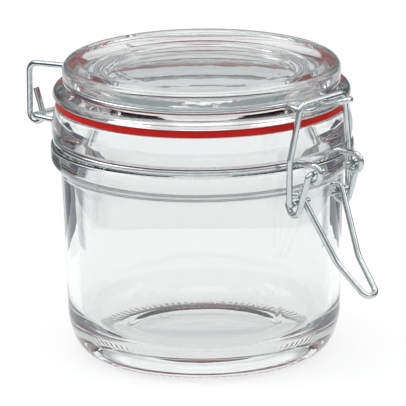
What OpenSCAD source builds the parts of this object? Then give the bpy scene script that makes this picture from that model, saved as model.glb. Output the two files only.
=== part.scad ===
// Clip-top storage jar: a pressed glass jar and lid, a rubber sealing ring,
// and four bent steel wires that hinge the lid at the back and clamp it at the front.
// Origin: centre of the base, on the jar's axis. +Z up, +X towards the latch, hinge at -X.

/* [Glass jar] */
// Outer radius of the wall just under the shoulder bead
wall_top_r = 46.4; // [44:0.1:46.6]
// Outer radius of the wall just above the heel
wall_low_r = 44.6; // [42:0.1:46]
// Height of the rounded heel
heel_h = 15.5; // [8:0.5:18]
// Radius of the ring that the jar stands on
foot_r = 36; // [32:0.5:38]
// Thickness of the side wall
wall_t = 4.2; // [2.5:0.1:4.5]
// Thickness of the base at its centre
base_t = 6.7; // [4:0.1:7]
// Rise of the underside at the centre of the base
push_up = 0.5; // [0.3:0.1:2.5]
// Height of the sealing face on the jar's rim
rim_z = 82.7; // [82.6:0.1:82.8]
// Radius of the mouth
mouth_r = 41; // [39:0.1:42]
// Outer radius of the shoulder bead
bead_r = 49.4; // [48.5:0.1:49.5]

/* [Sealing ring] */
// Outer radius of the rubber ring
seal_outer_r = 47.5; // [46:0.1:48]
// Inner radius of the rubber ring
seal_inner_r = 41; // [40:0.1:42]
// Thickness of the rubber ring
seal_t = 2.5; // [2.4:0.1:2.6]

/* [Glass lid] */
// Radius of the upper disc
disc_r = 45.3; // [44:0.1:46]
// Radius of the flange that presses on the rubber ring
flange_r = 48.4; // [47.5:0.1:49]
// Height of the lid above the rubber ring
lid_h = 11.4; // [10.5:0.1:13]
// Depth of the round recess in the lid's top
recess_depth = 1.7; // [0.5:0.1:3]
// Depth of the locating ring below the sealing face
plug_depth = 3; // [1:0.1:4]

/* [Wires] */
// Diameter of every wire
wire_d = 2; // [1.7:0.1:2]
// Half of the distance between the neck wire's two eyes
eye_y = 10; // [9.8:0.1:10.2]
// Half of the distance between the neck wire's two rear arms
hinge_y = 16.5; // [16:0.1:20]
// Distance of the hinge bar behind the jar's axis
hinge_x = 60.2; // [59:0.1:62]

/* [Latch] */
// Distance of the lever's pivot in front of the jar's axis
pivot_x = 56.4; // [56.2:0.1:57]
// Height of the lever's pivot
pivot_z = 70; // [69.6:0.1:70.4]
// Distance of the lever's loops in front of the jar's axis
loop_x = 49.6; // [49.6:0.1:49.9]
// Height of the lever's loops
loop_z = 58.7; // [58.5:0.1:58.8]
// Distance of the closing link's top bar in front of the jar's axis
bar_x = 51.8; // [51.6:0.1:52]
// Height of the closing link's top bar
bar_z = 92; // [92:0.1:92.4]

/* [Hidden] */
$fn = 96;

glass_tint = [0.86, 0.91, 0.9, 0.45];
steel_grey = [0.72, 0.73, 0.74];

// Wire: a bend is a trace thicker than a straight, and a straight reaches into it
wire_r = wire_d / 2;
bend_swell = 0.02;
bend_overlap = 0.15;
wire_clearance = 0.05;

// Neck of the jar: the collar above the wire's groove and the bead below it
neck_wire_z = rim_z - 11.3;
neck_groove_r = 46.6;
neck_ring_r = neck_groove_r + wire_r + wire_clearance;
groove_half = wire_r + 0.35;
collar_r = 49;
collar_top_r = 47.6;
collar_h = 5;
neck_round = 1;
rim_round = 0.8;
bead_low_z = 59.9;
bead_turn = 52;
bead_round = (bead_r - wall_top_r) / 2 / (1 - cos(bead_turn));
bead_high_z = bead_low_z + 2 * bead_round * sin(bead_turn);

// Foot, floor and mouth of the jar
foot_ring_w = 2;
foot_slope_w = 3;
floor_r = foot_r - 4;
floor_z = push_up + base_t;
neck_inside_z = 68;
neck_inside_r = mouth_r + 0.3;
mouth_low_z = rim_z - 7;

// Lid: everything is measured up from the sealing ring's top face
seal_top_z = rim_z + seal_t;
lid_top_z = seal_top_z + lid_h;
lid_wire_z = seal_top_z + 5.2;
lid_groove_r = 43;
lid_ring_r = lid_groove_r + wire_r + wire_clearance;
disc_low_z = lid_wire_z + wire_r + 0.15;
disc_round = 2;
flange_round = 2.2;
flange_edge_z = seal_top_z + 1.3;
groove_low_z = lid_wire_z - wire_r - 0.25;
dish_z = lid_top_z - recess_depth;
dish_rim_r = 39.5;
dish_floor_r = 34;
medallion_r = 28;
medallion_depth = 0.3;
plug_r = seal_inner_r - 0.4;
plug_w = 3;
hollow_r = 33.5;
hollow_z = seal_top_z + 4.5;

// Front of the lid wire: arms, then a narrow U, the tongue, that climbs away from the lid
lid_arm_y = 8.6;
tongue_half = 2;
tongue_root = [51.2, 89.4];
tongue_tip = [62.6, 93.4];
tongue_lead = 1.4;

// Rear hooks of the lid wire, just inside the neck wire's arms
hook_y = hinge_y - wire_d - 0.3;
hook_r = 2.9;
hook_centre = [-hinge_x - 0.5, neck_wire_z + 0.5];
hook_end_angle = 20;
hook_tail = 8;
hook_arm_drop = 1.9;

// Latch wires, from the middle outwards: handle, eyes, crank, link legs
handle_y = eye_y - 0.3;
crank_y = eye_y + wire_d + 0.2;
leg_y = crank_y + wire_d + 0.2;
eye_r = 2.75;
eye_sweep = 225;
eye_tail = 1.2;
loop_r = 2.9;
lever_pin_in = 4.5;
handle_top = [loop_x + 1.5, handle_y, loop_z + loop_r];
handle_knee = [61.9, 5.3, 40.7];
handle_end = [71.9, 2.7, 30.5];
bar_half = 10.5;
leg_knee = [50.2, leg_y, 73.5];

// The link's pins are pulled up against the tops of the lever's loops
link_pin = [loop_x + 0.35, loop_z + 0.6];
link_pin_y = 5.2;

// ---- Vector helpers ----
function unit(v) = v / norm(v);
function bend_angle(a, b, c) = acos(max(-1, min(1, unit(b - a) * unit(c - b))));

// Points on an oval or a round arc in a section, from angle a0 to a1 in n steps
function oval_arc(x, z, rx, rz, a0, a1, n = 6) =
    [for (i = [0 : n]) let (a = a0 + (a1 - a0) * i / n) [x + rx * cos(a), z + rz * sin(a)]];
function arc(x, z, r, a0, a1, n = 6) = oval_arc(x, z, r, r, a0, a1, n);

// The two corners whose rounding wraps an arc of radius r in the X-Z plane, while
// Y runs from y0 to y1. A negative sweep turns clockwise seen from -Y.
function coil_corners(x, z, r, start, sweep, y0, y1) =
    let (far = r / cos(sweep / 4))
    [for (i = [0, 1]) let (a = start + sweep * (i + 0.5) / 2)
        [x + far * cos(a), i == 0 ? y0 : y1, z + far * sin(a)]];

// The corner whose rounding wraps the ring of radius r from angle a0 to a1
function ring_corner(r, z, a0, a1) =
    let (a = (a0 + a1) / 2, far = r / cos((a1 - a0) / 2)) [far * cos(a), far * sin(a), z];

// Where the tangent of that ring at the angle a crosses the line Y = y
function tangent_meet(r, z, a, y) = [r * cos(a) + (r * sin(a) - y) * tan(a), y, z];

// ---- Bent wire ----
// Length that the bend at corner i takes from each of its two straights
function setback(p, r, i) =
    i == 0 || i == len(p) - 1 ? 0 : r[i - 1] * tan(bend_angle(p[i - 1], p[i], p[i + 1]) / 2);

// Normal of the plane in which the wire bends at corner i
function bend_normal(p, i) = unit(cross(p[i] - p[i - 1], p[i + 1] - p[i]));

// Turn about the wire's own axis between the bends at corners i and i + 1
function wire_roll(p, i) =
    let (a = bend_normal(p, i), b = bend_normal(p, i + 1), along = unit(p[i + 1] - p[i]))
    atan2(cross(a, b) * along, a * b);

// A wire through the corner points p, each inner corner rounded by its radius in r.
// It is made as a bending machine makes it: feed, bend, turn, feed.
module bent_wire(p, r) {
    z = unit(p[1] - p[0]);
    y = bend_normal(p, 1);
    x = cross(y, z);
    o = p[0];
    multmatrix([[x[0], y[0], z[0], o[0]], [x[1], y[1], z[1], o[1]], [x[2], y[2], z[2], o[2]]])
        fed_wire(p, r, 1);
}

// The wire from the end of the bend at corner i - 1, along local +Z
module fed_wire(p, r, i) {
    last = i == len(p) - 1;
    feed = norm(p[i] - p[i - 1]) - setback(p, r, i - 1) - setback(p, r, i);
    start = i == 1 ? 0 : -bend_overlap;
    end = last ? feed : feed + bend_overlap;
    translate([0, 0, start]) cylinder(r = wire_r, h = end - start, $fn = 24);
    if (!last) {
        turn = bend_angle(p[i - 1], p[i], p[i + 1]);
        translate([r[i - 1], 0, feed]) {
            rotate([90, 0, 180])
                rotate_extrude(angle = turn, $fn = 96)
                    translate([r[i - 1], 0]) circle(r = wire_r + bend_swell, $fn = 24);
            rotate([0, turn, 0]) translate([-r[i - 1], 0, 0])
                rotate([0, 0, i < len(p) - 2 ? wire_roll(p, i) : 0]) fed_wire(p, r, i + 1);
        }
    }
}

// Both halves of a wire that is the same on each side of the plane Y = 0
module both_sides() {
    children();
    mirror([0, 1, 0]) children();
}

// ---- Glass ----
module jar_outside() {
    polygon(concat(
        [[0, push_up], [foot_r - foot_ring_w - foot_slope_w, push_up],
         [foot_r - foot_ring_w, 0], [foot_r, 0]],
        oval_arc(foot_r, heel_h, wall_low_r - foot_r, heel_h, -90, 0, 8),
        arc(wall_top_r + bead_round, bead_low_z, bead_round, 180, 180 - bead_turn),
        arc(bead_r - bead_round, bead_high_z, bead_round, 2 - bead_turn, 0),
        arc(bead_r - neck_round, neck_wire_z - groove_half - neck_round, neck_round, 0, 90, 4),
        [[neck_groove_r, neck_wire_z - groove_half], [neck_groove_r, neck_wire_z + groove_half]],
        arc(collar_r - neck_round, neck_wire_z + groove_half + neck_round, neck_round, -90, 0, 4),
        [[collar_r, neck_wire_z + collar_h], [collar_top_r, rim_z - rim_round]],
        arc(collar_top_r - rim_round, rim_z - rim_round, rim_round, 20, 90, 4),
        [[0, rim_z]]));
}

module jar_inside() {
    curve_z = heel_h + 3;
    polygon(concat(
        [[0, floor_z]],
        oval_arc(floor_r, curve_z, wall_low_r - wall_t - floor_r, curve_z - floor_z, -90, 0, 8),
        [[neck_inside_r, neck_inside_z], [mouth_r, mouth_low_z]],
        arc(mouth_r + 1, rim_z - 1, 1, 180, 90, 4),
        [[mouth_r + 1, rim_z + 1], [0, rim_z + 1]]));
}

module glass_jar() {
    color(glass_tint)
        rotate_extrude() difference() {
            jar_outside();
            jar_inside();
        }
}

module glass_lid() {
    color(glass_tint)
        rotate_extrude()
            polygon(concat(
                [[0, dish_z - medallion_depth], [medallion_r - 1, dish_z - medallion_depth],
                 [medallion_r, dish_z], [dish_floor_r, dish_z],
                 [dish_rim_r - 1.5, lid_top_z - 0.3], [dish_rim_r, lid_top_z]],
                arc(disc_r - disc_round, lid_top_z - disc_round, disc_round, 90, 0),
                arc(disc_r - 0.6, disc_low_z + 0.6, 0.6, 0, -90, 3),
                [[lid_groove_r, disc_low_z], [lid_groove_r, groove_low_z],
                 [lid_groove_r + 1.6, groove_low_z - 0.35]],
                arc(flange_r - flange_round, flange_edge_z, flange_round, 75, 0),
                arc(flange_r - 1, seal_top_z + 1, 1, 0, -90, 4),
                [[plug_r, seal_top_z], [plug_r, rim_z],
                 [plug_r - plug_w / 2, rim_z - plug_depth], [plug_r - plug_w, rim_z - plug_depth],
                 [hollow_r, hollow_z], [0, hollow_z]]));
}

module sealing_ring() {
    color("firebrick")
        translate([0, 0, rim_z]) difference() {
            cylinder(r = seal_outer_r, h = seal_t);
            translate([0, 0, -1]) cylinder(r = seal_inner_r, h = seal_t + 2);
        }
}

// ---- Wires ----
// Half of the neck wire: hinge bar, rear arm, half a turn in the groove, front arm and eye
module neck_wire() {
    z = neck_wire_z;
    rear = 180 - asin((hinge_y + 2) / neck_ring_r);
    front = asin((eye_y + 2) / neck_ring_r);
    arm_end = tangent_meet(neck_ring_r, z, front, eye_y);
    tail_angle = 90 - eye_sweep;
    tail = [pivot_x, pivot_z] + eye_r * [cos(tail_angle), sin(tail_angle)]
        + eye_tail * [sin(tail_angle), -cos(tail_angle)];
    path = concat(
        [[-hinge_x, 0, z], [-hinge_x, hinge_y, z],
         tangent_meet(neck_ring_r, z, rear, hinge_y), ring_corner(neck_ring_r, z, rear, front),
         arm_end, [arm_end[0] + 3, eye_y, pivot_z + eye_r]],
        coil_corners(pivot_x, pivot_z, eye_r, 90, -eye_sweep, eye_y, eye_y),
        [[tail[0], eye_y, tail[1]]]);
    color(steel_grey) both_sides()
        bent_wire(path, [2.2, 1.5, neck_ring_r, 1.5, 1.6, eye_r - 0.1, eye_r - 0.1]);
}

// Half of the lid wire: hook, upright, rear arm, half a turn in the groove and front arm
module lid_wire() {
    z = lid_wire_z;
    rear = 180 - asin((hook_y + 2) / lid_ring_r);
    front = asin((lid_arm_y + 2) / lid_ring_r);
    hook = coil_corners(hook_centre[0], hook_centre[1], hook_r, hook_end_angle,
                        -180 - hook_end_angle, hook_y, hook_y);
    tail = hook_centre + hook_r * [cos(hook_end_angle), sin(hook_end_angle)]
        + hook_tail * [-sin(hook_end_angle), cos(hook_end_angle)];
    path = concat(
        [[tail[0], hook_y, tail[1]]],
        hook,
        [[hook_centre[0] - hook_r, hook_y, z - hook_arm_drop],
         tangent_meet(lid_ring_r, z, rear, hook_y), ring_corner(lid_ring_r, z, rear, front),
         tangent_meet(lid_ring_r, z, front, lid_arm_y),
         [tongue_root[0], lid_arm_y, tongue_root[1]],
         [tongue_root[0], tongue_half, tongue_root[1]], tongue_start()]);
    color(steel_grey) both_sides()
        bent_wire(path, [hook_r - 0.1, hook_r - 0.1, 3.5, 1.5, lid_ring_r, 1.5, 2, 1.2]);
}

// The point on the tongue's arm where the tongue takes over from the lid wire
function tongue_start() =
    let (p = tongue_root + tongue_lead * unit(tongue_tip - tongue_root))
    [p[0], tongue_half, p[1]];

// The narrow U that the closing link bears on. It is the front end of the lid's wire.
module latch_tongue() {
    color(steel_grey) both_sides()
        bent_wire([tongue_start(), [tongue_tip[0], tongue_half, tongue_tip[1]],
                   [tongue_tip[0], 0, tongue_tip[1]]], [tongue_half - 0.2]);
}

// Half of the closing link: top bar, leg, and the pin that turns in the lever's loop
module closing_link() {
    color(steel_grey) both_sides()
        bent_wire([[bar_x, 0, bar_z], [bar_x, bar_half, bar_z], leg_knee,
                   [link_pin[0], leg_y, link_pin[1]], [link_pin[0], link_pin_y, link_pin[1]]],
                  [2.8, 8, 1.5]);
}

// Half of the lever: pin, crank, loop, handle leg and half of the handle's round end
module latch_lever() {
    reach = norm([pivot_x - loop_x, pivot_z - loop_z]);
    start = atan2(pivot_z - loop_z, pivot_x - loop_x) - 90 + asin(loop_r / reach);
    path = concat(
        [[pivot_x, eye_y - lever_pin_in, pivot_z], [pivot_x, crank_y, pivot_z]],
        coil_corners(loop_x, loop_z, loop_r, start, -start - 270, crank_y, handle_y + 0.6),
        [handle_top, handle_knee, handle_end, [handle_end[0], -bend_overlap, handle_end[2]]]);
    color(steel_grey) both_sides()
        bent_wire(path, [1.5, loop_r - 0.1, loop_r - 0.1, 2, 12, 2.5]);
}

glass_jar();
neck_wire();
sealing_ring();
glass_lid();
lid_wire();
latch_tongue();
closing_link();
latch_lever();
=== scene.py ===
"""Looks for the clip-top glass jar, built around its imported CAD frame.

Every length is in metres unless its name ends in _mm, and every place is worked out from
the frame: +Z up along the jar's axis, +X towards the latch, the hinge at -X.
"""

import logging
import math
from collections.abc import Iterable
from dataclasses import dataclass, field
from enum import Enum
from typing import Any

import bmesh
import bpy
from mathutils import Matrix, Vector


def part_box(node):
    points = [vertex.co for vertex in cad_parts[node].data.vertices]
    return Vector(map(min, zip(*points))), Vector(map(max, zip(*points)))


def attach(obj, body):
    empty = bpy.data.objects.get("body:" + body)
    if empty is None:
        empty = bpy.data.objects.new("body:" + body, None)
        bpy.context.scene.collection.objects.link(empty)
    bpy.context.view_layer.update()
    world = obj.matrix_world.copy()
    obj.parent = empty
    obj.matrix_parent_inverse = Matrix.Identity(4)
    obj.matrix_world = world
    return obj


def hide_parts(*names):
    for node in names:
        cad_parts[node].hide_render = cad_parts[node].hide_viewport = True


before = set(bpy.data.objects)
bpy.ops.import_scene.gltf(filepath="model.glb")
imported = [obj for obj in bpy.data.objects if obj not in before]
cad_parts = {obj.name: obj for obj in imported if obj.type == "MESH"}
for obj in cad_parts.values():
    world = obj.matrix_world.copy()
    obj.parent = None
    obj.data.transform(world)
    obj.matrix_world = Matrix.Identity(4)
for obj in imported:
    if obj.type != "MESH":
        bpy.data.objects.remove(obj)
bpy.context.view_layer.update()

LOG = logging.getLogger("clip_top_jar")
MM = 0.001
FILLET_STEPS = 6
WELD_MM = 0.002
Point = tuple[float, float]


# ---- Colours and shader nodes ----


def linear(hex_code: str) -> tuple[float, float, float, float]:
    """Turns an sRGB hex colour into the linear colour that shaders take.

    Args:
        hex_code: The colour as "#rrggbb".

    Returns:
        Linear red, green and blue, and an alpha of 1.
    """
    channels = [int(hex_code[i : i + 2], 16) / 255 for i in (1, 3, 5)]
    red, green, blue = (
        c / 12.92 if c <= 0.04045 else ((c + 0.055) / 1.055) ** 2.4 for c in channels
    )
    return red, green, blue, 1.0


def add_node(
    tree: bpy.types.NodeTree,
    kind: str,
    settings: dict[str, Any] | None = None,
    inputs: dict[str | int, Any] | None = None,
) -> bpy.types.Node:
    """Adds one shader node with its settings, its values and its links.

    Args:
        tree: The node tree to add to.
        kind: The node's type, such as "ShaderNodeTexNoise".
        settings: Properties of the node itself.
        inputs: For each input, a plain value or the output socket that feeds it.

    Returns:
        The new node.
    """
    node = tree.nodes.new(kind)
    for name, value in (settings or {}).items():
        setattr(node, name, value)
    for key, value in (inputs or {}).items():
        if isinstance(value, bpy.types.NodeSocket):
            tree.links.new(value, node.inputs[key])
        else:
            node.inputs[key].default_value = value
    return node


def blank_material(name: str) -> tuple[bpy.types.Material, bpy.types.NodeTree]:
    """Makes a material with an empty node tree.

    Args:
        name: The material's name.

    Returns:
        The material and its tree.
    """
    material = bpy.data.materials.new(name)
    material.use_nodes = True
    material.node_tree.nodes.clear()
    return material, material.node_tree


def finish_surface(tree: bpy.types.NodeTree, shader: bpy.types.Node) -> None:
    """Links a shader to the material's surface.

    Args:
        tree: The material's node tree.
        shader: The node whose first output is the surface.
    """
    add_node(tree, "ShaderNodeOutputMaterial", inputs={"Surface": shader.outputs[0]})


def noise_of_size(
    tree: bpy.types.NodeTree, place: bpy.types.NodeSocket, size_mm: float, detail: float
) -> bpy.types.NodeSocket:
    """Adds a noise pattern whose patches have a real size.

    Args:
        tree: The material's node tree.
        place: The coordinates to read.
        size_mm: The size of one patch, in millimetres.
        detail: How many finer layers the noise has.

    Returns:
        The socket with the noise, from 0 to 1.
    """
    inputs = {"Vector": place, "Scale": 1 / (size_mm * MM), "Detail": detail}
    return add_node(tree, "ShaderNodeTexNoise", inputs=inputs).outputs["Fac"]


def bump_of_height(
    tree: bpy.types.NodeTree, height: bpy.types.NodeSocket, height_mm: float
) -> bpy.types.NodeSocket:
    """Adds a bump that lifts the surface by a real height.

    Args:
        tree: The material's node tree.
        height: The pattern, from 0 to 1.
        height_mm: The lift where the pattern is 1, in millimetres.

    Returns:
        The socket with the bumped normal.
    """
    inputs = {"Height": height, "Strength": 1.0, "Distance": height_mm * MM}
    return add_node(tree, "ShaderNodeBump", inputs=inputs).outputs[0]


# ---- Finishes ----


@dataclass(frozen=True)
class PressedGlass:
    """Soda-lime container glass, pressed in an iron mould and fire polished.

    The mould leaves the wall a little wavy, and the iron in the sand a faint grey-green.
    """

    name: str
    tint: str = "#f4f5f5"
    ior: float = 1.52
    roughness: float = 0.0
    wave_mm: float = 9.0
    wave_height_mm: float = 0.05
    wave_stretch: float = 0.35
    ripple_mm: float = 2.2
    ripple_share: float = 0.18

    def build(self) -> bpy.types.Material:
        """Makes the glass: clear, with long mould waves and finer ripples in its surface.

        Returns:
            The material.
        """
        material, tree = blank_material(self.name)
        place = add_node(tree, "ShaderNodeTexCoord").outputs["Object"]
        stretched = add_node(
            tree,
            "ShaderNodeMapping",
            inputs={"Vector": place, "Scale": (1.0, 1.0, self.wave_stretch)},
        )
        waves = noise_of_size(tree, stretched.outputs[0], self.wave_mm, 1.0)
        ripples = noise_of_size(tree, stretched.outputs[0], self.ripple_mm, 1.0)
        height = add_node(
            tree,
            "ShaderNodeMath",
            {"operation": "MULTIPLY_ADD"},
            {0: ripples, 1: self.ripple_share, 2: waves},
        )
        bump = bump_of_height(tree, height.outputs[0], self.wave_height_mm)
        shader = add_node(
            tree,
            "ShaderNodeBsdfPrincipled",
            inputs={
                "Base Color": linear(self.tint),
                "Roughness": self.roughness,
                "IOR": self.ior,
                "Transmission Weight": 1.0,
                "Normal": bump,
            },
        )
        finish_surface(tree, shader)
        return material


@dataclass(frozen=True)
class MouldedRubber:
    """Natural rubber, moulded and left matt, with a faint bloom and a fine grain."""

    name: str
    red: str = "#cc120c"
    bloom: str = "#b3100b"
    roughness: float = 0.6
    specular: float = 0.2
    bloom_mm: float = 6.0
    grain_mm: float = 0.5
    grain_height_mm: float = 0.02

    def build(self) -> bpy.types.Material:
        """Makes the rubber: two close reds in soft patches, and a grain in the surface.

        Returns:
            The material.
        """
        material, tree = blank_material(self.name)
        place = add_node(tree, "ShaderNodeTexCoord").outputs["Object"]
        patches = noise_of_size(tree, place, self.bloom_mm, 3.0)
        colour = add_node(
            tree,
            "ShaderNodeMix",
            {"data_type": "RGBA"},
            {0: patches, 6: linear(self.bloom), 7: linear(self.red)},
        )
        grain = noise_of_size(tree, place, self.grain_mm, 2.0)
        bump = bump_of_height(tree, grain, self.grain_height_mm)
        shader = add_node(
            tree,
            "ShaderNodeBsdfPrincipled",
            inputs={
                "Base Color": colour.outputs[2],
                "Roughness": self.roughness,
                "Specular IOR Level": self.specular,
                "Normal": bump,
            },
        )
        finish_surface(tree, shader)
        return material


@dataclass(frozen=True)
class ZincPlatedWire:
    """Drawn steel wire, bright zinc plated: a cool grey metal with a soft, uneven shine."""

    name: str
    zinc: str = "#d9dcdd"
    dull: str = "#b4b9bb"
    smooth: float = 0.08
    rough: float = 0.20
    spangle_mm: float = 2.5
    spangle_range: tuple[float, float] = (0.3, 0.7)
    draw_mark_mm: float = 0.4
    draw_mark_height_mm: float = 0.012

    def build(self) -> bpy.types.Material:
        """Makes the plated steel: patches of duller zinc, and faint marks of the drawing die.

        Returns:
            The material.
        """
        material, tree = blank_material(self.name)
        place = add_node(tree, "ShaderNodeTexCoord").outputs["Object"]
        patches = noise_of_size(tree, place, self.spangle_mm, 3.0)
        colour = add_node(
            tree,
            "ShaderNodeMix",
            {"data_type": "RGBA"},
            {0: patches, 6: linear(self.zinc), 7: linear(self.dull)},
        )
        shine = add_node(
            tree,
            "ShaderNodeMapRange",
            inputs={
                "Value": patches,
                "From Min": self.spangle_range[0],
                "From Max": self.spangle_range[1],
                "To Min": self.smooth,
                "To Max": self.rough,
            },
        )
        marks = noise_of_size(tree, place, self.draw_mark_mm, 1.0)
        bump = bump_of_height(tree, marks, self.draw_mark_height_mm)
        shader = add_node(
            tree,
            "ShaderNodeBsdfPrincipled",
            inputs={
                "Base Color": colour.outputs[2],
                "Metallic": 1.0,
                "Roughness": shine.outputs[0],
                "Normal": bump,
            },
        )
        finish_surface(tree, shader)
        return material


# ---- Profiles ----


class Corner(Enum):
    """How a profile turns at one of its corners."""

    SHARP = 0
    ROUND = 1


@dataclass(frozen=True)
class Turn:
    """One corner of a turned profile, in millimetres: radius from the axis, and height."""

    r: float
    z: float
    fillet: float = 0.0

    @property
    def kind(self) -> Corner:
        """Whether this corner is rounded."""
        return Corner.ROUND if self.fillet > 0 else Corner.SHARP


def rounded(turns: list[Turn], steps: int = FILLET_STEPS) -> list[Point]:
    """Rounds the corners of an open profile with true arcs.

    Args:
        turns: The profile's corners in order, with a fillet radius where one is wanted.
        steps: Points on each rounded corner, less one.

    Returns:
        Points as (radius, height) in millimetres.
    """
    points: list[Point] = []
    for i, turn in enumerate(turns):
        if turn.kind is Corner.SHARP or i in (0, len(turns) - 1):
            points.append((turn.r, turn.z))
            continue
        here = Vector((turn.r, turn.z))
        back = (Vector((turns[i - 1].r, turns[i - 1].z)) - here).normalized()
        ahead = (Vector((turns[i + 1].r, turns[i + 1].z)) - here).normalized()
        half = back.angle(ahead) / 2
        reach = turn.fillet / math.tan(half)
        centre = here + (back + ahead).normalized() * turn.fillet / math.sin(half)
        start = here + back * reach - centre
        sweep = start.angle_signed(here + ahead * reach - centre)
        for k in range(steps + 1):
            angle = -sweep * k / steps
            turned = Vector((
                start.x * math.cos(angle) - start.y * math.sin(angle),
                start.x * math.sin(angle) + start.y * math.cos(angle),
            ))
            points.append(tuple(centre + turned))
    return points


def spun_mesh(name: str, outline: Iterable[Point], steps: int) -> bmesh.types.BMesh:
    """Spins an outline a full turn about the jar's axis.

    Args:
        name: The piece's name, for the log.
        outline: Points as (radius, height) in millimetres. It starts and ends on the axis,
            or it is closed by its last point being its first.
        steps: Faces round the full turn.

    Returns:
        A closed bmesh with its faces outwards.
    """
    mesh = bmesh.new()
    verts = [mesh.verts.new((r * MM, 0.0, z * MM)) for r, z in outline]
    edges = [mesh.edges.new(pair) for pair in zip(verts, verts[1:])]
    bmesh.ops.spin(
        mesh,
        geom=verts + edges,
        cent=(0, 0, 0),
        axis=(0, 0, 1),
        angle=math.tau,
        steps=steps,
        use_merge=True,
    )
    bmesh.ops.remove_doubles(mesh, verts=mesh.verts, dist=WELD_MM * MM)
    bmesh.ops.recalc_face_normals(mesh, faces=mesh.faces)
    open_edges = sum(1 for e in mesh.edges if not e.is_manifold)
    LOG.info("%s: %d faces, %d open edges", name, len(mesh.faces), open_edges)
    return mesh


def piece_from(
    mesh: bmesh.types.BMesh, name: str, material: bpy.types.Material
) -> bpy.types.Object:
    """Turns a bmesh into a smooth-shaded object with one material.

    Args:
        mesh: The finished shape, in the row frame. It is freed.
        name: The piece's name.
        material: Its finish.

    Returns:
        The new object, at the origin.
    """
    data = bpy.data.meshes.new(name)
    mesh.to_mesh(data)
    mesh.free()
    data.polygons.foreach_set("use_smooth", [True] * len(data.polygons))
    data.materials.append(material)
    piece = bpy.data.objects.new(name, data)
    bpy.context.scene.collection.objects.link(piece)
    return piece


# ---- Sub-assemblies ----


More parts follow.
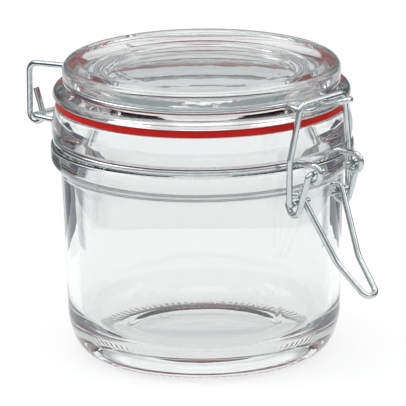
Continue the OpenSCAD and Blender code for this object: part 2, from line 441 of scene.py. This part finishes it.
@dataclass
class GlassJar:
    """The pressed glass jar: heel, straight body, shoulder bead, wire groove, collar, rim.

    A name with "below" in it is a distance down from the rim.
    """

    finish: PressedGlass
    around: int = 384
    push_up_r_mm: float = 31.0
    push_up_mm: float = 0.5
    foot_inner_r_mm: float = 33.8
    foot_edge_mm: float = 0.05
    foot_r_mm: float = 36.0
    heel_w_mm: float = 8.6
    heel_h_mm: float = 15.5
    heel_steps: int = 14
    wall_top_r_mm: float = 46.4
    bead_r_mm: float = 49.4
    bead_low_below_mm: float = 22.8
    bead_top_below_mm: float = 12.7
    groove_r_mm: float = 46.6
    groove_low_below_mm: float = 12.6
    groove_high_below_mm: float = 10.0
    collar_r_mm: float = 49.0
    collar_low_below_mm: float = 9.9
    collar_high_below_mm: float = 6.3
    rim_r_mm: float = 47.6
    mouth_r_mm: float = 41.0
    mouth_low_below_mm: float = 7.0
    neck_inside_r_mm: float = 41.3
    neck_inside_below_mm: float = 14.7
    floor_r_mm: float = 32.0
    floor_mm: float = 7.2
    inner_heel_w_mm: float = 8.4
    inner_heel_h_mm: float = 11.3
    recess_r_mm: tuple[float, float] = (23.5, 25.5)
    recess_floor_mm: float = 6.5
    knurl_r_mm: tuple[float, float] = (33.6, 38.6)
    knurl_depth_mm: float = 0.28
    knurl_below_z_mm: float = 2.0
    knurl_columns: int = 4
    knurl_raised_columns: int = 2
    bead_turn_deg: float = 52.0
    bead_steps: int = 10
    seam_half_width_mm: float = 0.35
    seam_height_mm: float = 0.09
    seam_at_deg: tuple[float, float] = (-16.0, 164.0)
    seam_r_mm: tuple[float, float] = (44.4, 49.2)
    seam_top_below_mm: float = 1.5
    rim_mm: float = field(init=False)

    def __post_init__(self) -> None:
        """Reads the height of the rim from the frame."""
        self.rim_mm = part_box("glass_jar")[1].z / MM

    def bead_curve(self) -> list[Turn]:
        """The soft S that the wall makes where it swells out into the bead.

        Returns:
            Points up the curve.
        """
        wall, bead = self.wall_top_r_mm, self.bead_r_mm
        low = self.rim_mm - self.bead_low_below_mm
        turn = math.radians(self.bead_turn_deg)
        bend = (bead - wall) / 2 / (1 - math.cos(turn))
        high = low + 2 * bend * math.sin(turn)
        angles = [turn * k / self.bead_steps for k in range(self.bead_steps + 1)]
        lower = [(wall + bend * (1 - math.cos(a)), low + bend * math.sin(a)) for a in angles]
        upper = [(bead - bend * (1 - math.cos(a)), high - bend * math.sin(a)) for a in angles]
        return [Turn(r, z) for r, z in lower + upper[-2::-1]]

    def outside(self) -> list[Turn]:
        """The outside of the section, from the middle of the underside up to the neck's inside.

        Returns:
            The corners in order.
        """
        rim = self.rim_mm
        quarter = [math.pi / 2 * k / self.heel_steps for k in range(1, self.heel_steps)]
        heel = [
            Turn(
                self.foot_r_mm + self.heel_w_mm * math.sin(t),
                self.heel_h_mm - self.heel_h_mm * math.cos(t),
            )
            for t in quarter
        ]
        return [
            Turn(0, self.push_up_mm),
            Turn(self.push_up_r_mm, self.push_up_mm, fillet=3.0),
            Turn(self.foot_inner_r_mm, self.foot_edge_mm, fillet=1.0),
            Turn(self.foot_r_mm, 0.0),
            *heel,
            Turn(self.foot_r_mm + self.heel_w_mm, self.heel_h_mm),
            *self.bead_curve(),
            Turn(self.bead_r_mm, rim - self.bead_top_below_mm, fillet=1.1),
            Turn(self.groove_r_mm, rim - self.groove_low_below_mm, fillet=0.5),
            Turn(self.groove_r_mm, rim - self.groove_high_below_mm, fillet=0.5),
            Turn(self.collar_r_mm, rim - self.collar_low_below_mm, fillet=1.0),
            Turn(self.collar_r_mm, rim - self.collar_high_below_mm, fillet=6.0),
            Turn(self.rim_r_mm, rim, fillet=0.8),
            Turn(self.mouth_r_mm, rim, fillet=1.0),
            Turn(self.mouth_r_mm, rim - self.mouth_low_below_mm, fillet=5.0),
            Turn(self.neck_inside_r_mm, rim - self.neck_inside_below_mm, fillet=9.0),
        ]

    def inside(self) -> list[Turn]:
        """The inside of the section, from the top of the inner heel to the middle of the floor.

        Returns:
            The corners in order.
        """
        quarter = [math.pi / 2 * k / self.heel_steps for k in range(self.heel_steps)]
        curve_z = self.floor_mm + self.inner_heel_h_mm
        heel = [
            Turn(
                self.floor_r_mm + self.inner_heel_w_mm * math.cos(t),
                curve_z - self.inner_heel_h_mm * math.sin(t),
            )
            for t in quarter
        ]
        recess_inner, recess_outer = self.recess_r_mm
        return [
            *heel,
            Turn(self.floor_r_mm, self.floor_mm),
            Turn(recess_outer, self.floor_mm, fillet=3.0),
            Turn(recess_inner, self.recess_floor_mm, fillet=3.0),
            Turn(0, self.recess_floor_mm),
        ]

    def cut_knurl(self, mesh: bmesh.types.BMesh) -> None:
        """Presses the ring of fine radial ribs that the jar stands on.

        Args:
            mesh: The spun jar.
        """
        low, high = (r * MM for r in self.knurl_r_mm)
        step = math.tau / self.around
        for vert in mesh.verts:
            r = math.hypot(vert.co.x, vert.co.y)
            if not (low < r < high and vert.co.z < self.knurl_below_z_mm * MM):
                continue
            column = round(math.atan2(vert.co.y, vert.co.x) / step)
            if column % self.knurl_columns < self.knurl_raised_columns:
                vert.co.z += self.knurl_depth_mm * MM

    def raise_seams(self, mesh: bmesh.types.BMesh) -> None:
        """Raises the two fine lines where the halves of the mould met.

        Args:
            mesh: The spun jar.
        """
        inner, outer = (r * MM for r in self.seam_r_mm)
        top = (self.rim_mm - self.seam_top_below_mm) * MM
        for vert in mesh.verts:
            r = math.hypot(vert.co.x, vert.co.y)
            if not (inner < r < outer and vert.co.z < top):
                continue
            angle = math.degrees(math.atan2(vert.co.y, vert.co.x))
            for seam in self.seam_at_deg:
                away = abs((angle - seam + 180) % 360 - 180)
                offset_mm = math.radians(away) * r / MM
                if offset_mm < self.seam_half_width_mm:
                    lift = self.seam_height_mm * MM
                    vert.co.x += lift * math.cos(math.radians(seam))
                    vert.co.y += lift * math.sin(math.radians(seam))

    def build(self) -> bpy.types.Object:
        """Builds the jar and puts it in the place of its CAD node.

        Returns:
            The jar.
        """
        outline = rounded(self.outside() + self.inside())
        mesh = spun_mesh("jar_body", outline, self.around)
        self.cut_knurl(mesh)
        self.raise_seams(mesh)
        piece = piece_from(mesh, "jar_body", self.finish.build())
        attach(piece, "jar")
        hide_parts("glass_jar")
        return piece


@dataclass
class GlassLid:
    """The pressed glass lid: dished top, round-edged disc, wire groove, flange and plug.

    A "drop" is a distance down from the lid's top, and a "rise" one up from its sealing face.
    """

    finish: PressedGlass
    around: int = 256
    medallion_r_mm: tuple[float, float] = (27.4, 28.6)
    medallion_drop_mm: float = 2.0
    dish_floor_r_mm: float = 34.0
    dish_drop_mm: float = 1.7
    dish_rim_r_mm: float = 39.5
    disc_r_mm: float = 45.3
    disc_low_rise_mm: float = 6.4
    groove_r_mm: float = 43.0
    groove_high_rise_mm: float = 6.3
    groove_low_rise_mm: float = 4.0
    shoulder_r_mm: float = 45.2
    shoulder_rise_mm: float = 3.6
    flange_r_mm: float = 48.4
    flange_rise_mm: float = 2.9
    plug_r_mm: tuple[float, float] = (40.2, 40.6)
    plug_inner_r_mm: float = 37.6
    plug_reach_mm: float = 3.0
    hollow_r_mm: float = 33.5
    hollow_rise_mm: float = 4.5
    low_mm: float = field(init=False)
    top_mm: float = field(init=False)

    def __post_init__(self) -> None:
        """Reads the sealing face and the top from the frame."""
        self.low_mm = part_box("sealing_ring")[1].z / MM
        self.top_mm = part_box("glass_lid")[1].z / MM

    def outline(self) -> list[Point]:
        """The lid's section, from the middle of its top round to the middle of its hollow.

        Returns:
            Points as (radius, height) in millimetres.
        """
        low, top = self.low_mm, self.top_mm
        medallion_edge, medallion_lip = self.medallion_r_mm
        plug_tip, plug_root = self.plug_r_mm
        return rounded([
            Turn(0, top - self.medallion_drop_mm),
            Turn(medallion_edge, top - self.medallion_drop_mm, fillet=1.5),
            Turn(medallion_lip, top - self.dish_drop_mm, fillet=1.5),
            Turn(self.dish_floor_r_mm, top - self.dish_drop_mm, fillet=6.0),
            Turn(self.dish_rim_r_mm, top, fillet=4.0),
            Turn(self.disc_r_mm, top, fillet=2.4),
            Turn(self.disc_r_mm, low + self.disc_low_rise_mm, fillet=0.7),
            Turn(self.groove_r_mm, low + self.groove_high_rise_mm, fillet=0.4),
            Turn(self.groove_r_mm, low + self.groove_low_rise_mm, fillet=0.4),
            Turn(self.shoulder_r_mm, low + self.shoulder_rise_mm, fillet=1.0),
            Turn(self.flange_r_mm, low + self.flange_rise_mm, fillet=1.6),
            Turn(self.flange_r_mm, low, fillet=0.9),
            Turn(plug_root, low, fillet=0.3),
            Turn(plug_tip, low - self.plug_reach_mm, fillet=0.8),
            Turn(self.plug_inner_r_mm, low - self.plug_reach_mm, fillet=0.8),
            Turn(self.hollow_r_mm, low + self.hollow_rise_mm, fillet=9.0),
            Turn(0, low + self.hollow_rise_mm),
        ])

    def build(self) -> bpy.types.Object:
        """Builds the lid and puts it in the place of its CAD node.

        Returns:
            The lid.
        """
        mesh = spun_mesh("lid_disc", self.outline(), self.around)
        piece = piece_from(mesh, "lid_disc", self.finish.build())
        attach(piece, "lid")
        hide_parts("glass_lid")
        return piece


@dataclass
class SealingRing:
    """The flat rubber ring between the rim and the lid, with rounded edges."""

    finish: MouldedRubber
    around: int = 256
    edge_mm: float = 0.45
    inner_mm: float = 41.0
    air_gap_mm: float = 0.03

    def build(self) -> bpy.types.Object:
        """Builds the ring and puts it in the place of its CAD node.

        Returns:
            The ring.
        """
        low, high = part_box("sealing_ring")
        outer = high.x / MM
        bottom = low.z / MM + self.air_gap_mm
        top = high.z / MM - self.air_gap_mm
        inner = self.inner_mm
        middle = (inner + outer) / 2
        outline = rounded([
            Turn(middle, bottom),
            Turn(outer, bottom, self.edge_mm),
            Turn(outer, top, self.edge_mm),
            Turn(inner, top, self.edge_mm),
            Turn(inner, bottom, self.edge_mm),
            Turn(middle, bottom),
        ])
        mesh = spun_mesh("rubber_ring", outline, self.around)
        piece = piece_from(mesh, "rubber_ring", self.finish.build())
        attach(piece, "lid")
        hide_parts("sealing_ring")
        return piece


@dataclass
class BentWires:
    """The four bent wires, which keep their CAD shapes and take the plated finish."""

    finish: ZincPlatedWire
    nodes: tuple[str, ...] = (
        "neck_wire",
        "lid_wire",
        "latch_tongue",
        "closing_link",
        "latch_lever",
    )

    def dress(self) -> None:
        """Gives every wire the plated finish."""
        material = self.finish.build()
        for name in self.nodes:
            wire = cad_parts[name]
            wire.data.materials.clear()
            wire.data.materials.append(material)
            LOG.info("%s: plated", name)


# ---- Studio ----


@dataclass(frozen=True)
class SoftLight:
    """One soft box: its direction from the jar, its distance, its size and its power."""

    name: str
    azimuth_deg: float
    elevation_deg: float
    distance: float
    size: float
    watts: float


@dataclass
class Studio:
    """A glowing white table, a grey room, soft boxes, and cards outside the view."""

    azimuth_deg: float = 42.0
    elevation_deg: float = 15.36
    roll_deg: float = 0.63
    distance: float = 1.917
    view_deg: float = 3.957
    aim: Vector = field(default_factory=lambda: Vector((0.0, 0.0, 0.0485)))
    table_glow: float = 0.70
    card_glow: float = 0.68
    table_white: str = "#949494"
    card_grey: str = "#62666f"
    card_fade: float = 0.35
    card_foot: float = 0.002
    back_card_behind: float = 0.11
    back_card_reach: tuple[float, float] = (0.074, 0.17)
    back_card_height: float = 0.044
    side_card_away: float = 0.2
    side_card_reach: tuple[float, float] = (-0.05, 0.16)
    side_card_height: float = 0.16
    white_card_half_width: float = 0.085
    white_card_behind: float = 0.15
    white_card_height: float = 0.065
    table_half_width: float = 8.0
    light_bounces: int = 24
    glossy_bounces: int = 8
    room_wall: str = "#90999a"
    room_ceiling: str = "#f4f5f5"
    room_rise: tuple[float, float] = (0.36, 0.46)
    lights: tuple[SoftLight, ...] = (
        SoftLight("key_box", -48, 40, 1.1, 0.7, 3.0),
        SoftLight("fill_box", 130, 35, 1.2, 0.8, 2.5),
        SoftLight("top_box", 42, 78, 1.0, 0.6, 2.0),
    )

    def towards(self, azimuth_deg: float, elevation_deg: float) -> Vector:
        """The unit vector from the jar towards a place round it.

        Args:
            azimuth_deg: 0 is -Y, and 90 is +X.
            elevation_deg: Degrees above the table.

        Returns:
            The direction.
        """
        a, e = math.radians(azimuth_deg), math.radians(elevation_deg)
        return Vector((math.sin(a) * math.cos(e), -math.cos(a) * math.cos(e), math.sin(e)))

    def build_camera(self) -> None:
        """Places the camera, turned a little about its own axis."""
        data = bpy.data.cameras.new("camera")
        data.sensor_width = 36.0
        data.lens = data.sensor_width / 2 / math.tan(math.radians(self.view_deg) / 2)
        data.clip_end = 50.0
        camera = bpy.data.objects.new("camera", data)
        back = self.towards(self.azimuth_deg, self.elevation_deg)
        camera.location = self.aim + back * self.distance
        turn = back.to_track_quat("Z", "Y").to_matrix().to_4x4()
        camera.rotation_euler = turn.to_euler()
        camera.rotation_euler.rotate_axis("Z", -math.radians(self.roll_deg))
        bpy.context.scene.collection.objects.link(camera)
        bpy.context.scene.camera = camera

    def build_table(self) -> None:
        """Lays the plain white table, which glows a little like a light table."""
        mesh = bmesh.new()
        bmesh.ops.create_grid(mesh, x_segments=1, y_segments=1, size=self.table_half_width)
        material, tree = blank_material("white_table")
        shader = add_node(
            tree,
            "ShaderNodeBsdfPrincipled",
            inputs={
                "Base Color": linear(self.table_white),
                "Roughness": 0.9,
                "Emission Color": (1.0, 1.0, 1.0, 1.0),
                "Emission Strength": self.table_glow,
            },
        )
        finish_surface(tree, shader)
        table = piece_from(mesh, "table", material)

    def build_card(
        self, name: str, start: Point, end: Point, height: float, colour: str, glow: float = 0.0
    ) -> None:
        """Stands a card on the table, outside the view. Dark cards draw the edges of clear
        glass, and a white one behind it keeps its heel bright.

        Args:
            name: The card's name.
            start: Where its foot starts: metres to the right of the jar, and behind it.
            end: Where its foot ends.
            height: How tall it stands.
            colour: The card's colour.
            glow: How much light it gives.
        """
        a = math.radians(self.azimuth_deg)
        right = Vector((math.cos(a), math.sin(a), 0.0))
        away = Vector((-math.sin(a), math.cos(a), 0.0))
        mesh = bmesh.new()
        corners = [
            right * x + away * y + Vector((0, 0, z))
            for (x, y), z in (
                (start, self.card_foot),
                (end, self.card_foot),
                (end, height),
                (start, height),
            )
        ]
        mesh.faces.new([mesh.verts.new(c) for c in corners])
        material, tree = blank_material(name)
        shader = add_node(
            tree,
            "ShaderNodeBsdfPrincipled",
            inputs={
                "Base Color": linear(colour),
                "Roughness": 1.0,
                "Specular IOR Level": 0.0,
                "Emission Color": (1.0, 1.0, 1.0, 1.0),
                "Emission Strength": glow,
            },
        )
        place = add_node(
            tree,
            "ShaderNodeSeparateXYZ",
            inputs={0: add_node(tree, "ShaderNodeTexCoord").outputs["Generated"]},
        )
        across = add_node(
            tree, "ShaderNodeMath", {"operation": "PINGPONG"}, {0: place.outputs["X"], 1: 0.5}
        )
        sides = add_node(
            tree,
            "ShaderNodeMapRange",
            {"interpolation_type": "SMOOTHSTEP"},
            {"Value": across.outputs[0], "From Max": self.card_fade / 2},
        )
        top = add_node(
            tree,
            "ShaderNodeMapRange",
            {"interpolation_type": "SMOOTHSTEP"},
            {"Value": place.outputs["Z"], "From Min": 1.0, "From Max": 1.0 - self.card_fade},
        )
        cover = add_node(
            tree,
            "ShaderNodeMath",
            {"operation": "MULTIPLY"},
            {0: sides.outputs[0], 1: top.outputs[0]},
        )
        clear = add_node(tree, "ShaderNodeBsdfTransparent")
        card_mix = add_node(
            tree,
            "ShaderNodeMixShader",
            inputs={0: cover.outputs[0], 1: clear.outputs[0], 2: shader.outputs[0]},
        )
        finish_surface(tree, card_mix)
        card = piece_from(mesh, name, material)
        card.visible_camera = False
        card.visible_diffuse = False
        card.visible_shadow = False

    def build_room(self) -> None:
        """Fills the room with even light: grey walls under a white ceiling."""
        world = bpy.data.worlds.new("room")
        world.use_nodes = True
        tree = world.node_tree
        tree.nodes.clear()
        place = add_node(tree, "ShaderNodeTexCoord").outputs["Generated"]
        height = add_node(tree, "ShaderNodeSeparateXYZ", inputs={0: place})
        ramp = add_node(tree, "ShaderNodeValToRGB", inputs={0: height.outputs["Z"]})
        dark, bright = ramp.color_ramp.elements
        dark.position, bright.position = self.room_rise
        dark.color, bright.color = linear(self.room_wall), linear(self.room_ceiling)
        sky = add_node(
            tree, "ShaderNodeBackground", inputs={"Color": ramp.outputs[0], "Strength": 1.0}
        )
        add_node(tree, "ShaderNodeOutputWorld", inputs={"Surface": sky.outputs[0]})
        bpy.context.scene.world = world

    def build_light(self, light: SoftLight) -> None:
        """Hangs one soft box, turned to the jar.

        Args:
            light: The soft box.
        """
        data = bpy.data.lights.new(light.name, "AREA")
        data.shape = "SQUARE"
        data.size = light.size
        data.energy = light.watts
        lamp = bpy.data.objects.new(light.name, data)
        back = self.towards(light.azimuth_deg, light.elevation_deg)
        lamp.location = self.aim + back * light.distance
        lamp.rotation_euler = back.to_track_quat("Z", "Y").to_euler()
        bpy.context.scene.collection.objects.link(lamp)

    def build_cards(self) -> None:
        """Stands a dark card at each side and behind each edge, and a white one behind."""
        inner, outer = self.back_card_reach
        near, far = self.side_card_reach
        behind, away = self.back_card_behind, self.side_card_away
        for name, side in (("left", -1.0), ("right", 1.0)):
            self.build_card(
                f"{name}_back_card",
                (side * inner, behind),
                (side * outer, behind),
                self.back_card_height,
                self.card_grey,
            )
            self.build_card(
                f"{name}_side_card",
                (side * away, near),
                (side * away, far),
                self.side_card_height,
                self.card_grey,
            )
        self.build_card(
            "white_card",
            (-self.white_card_half_width, self.white_card_behind),
            (self.white_card_half_width, self.white_card_behind),
            self.white_card_height,
            self.table_white,
            self.card_glow,
        )

    def build(self) -> None:
        """Builds the studio and sets the plain view transform and the light paths for glass."""
        self.build_camera()
        self.build_table()
        self.build_cards()
        self.build_room()
        for light in self.lights:
            self.build_light(light)
        scene = bpy.context.scene
        scene.view_settings.view_transform = "Standard"
        scene.cycles.max_bounces = self.light_bounces
        scene.cycles.transmission_bounces = self.light_bounces
        scene.cycles.glossy_bounces = self.glossy_bounces


def main() -> None:
    """Builds the studio, then the glass, the rubber and the wires."""
    logging.basicConfig(level=logging.INFO, format="%(message)s")
    Studio().build()
    pieces = [
        GlassJar(PressedGlass("pressed_glass_jar")).build(),
        GlassLid(PressedGlass("pressed_glass_lid", wave_height_mm=0.03)).build(),
        SealingRing(MouldedRubber("moulded_red_rubber")).build(),
    ]
    BentWires(ZincPlatedWire("zinc_plated_wire")).dress()


if __name__ == "__main__":
    main()
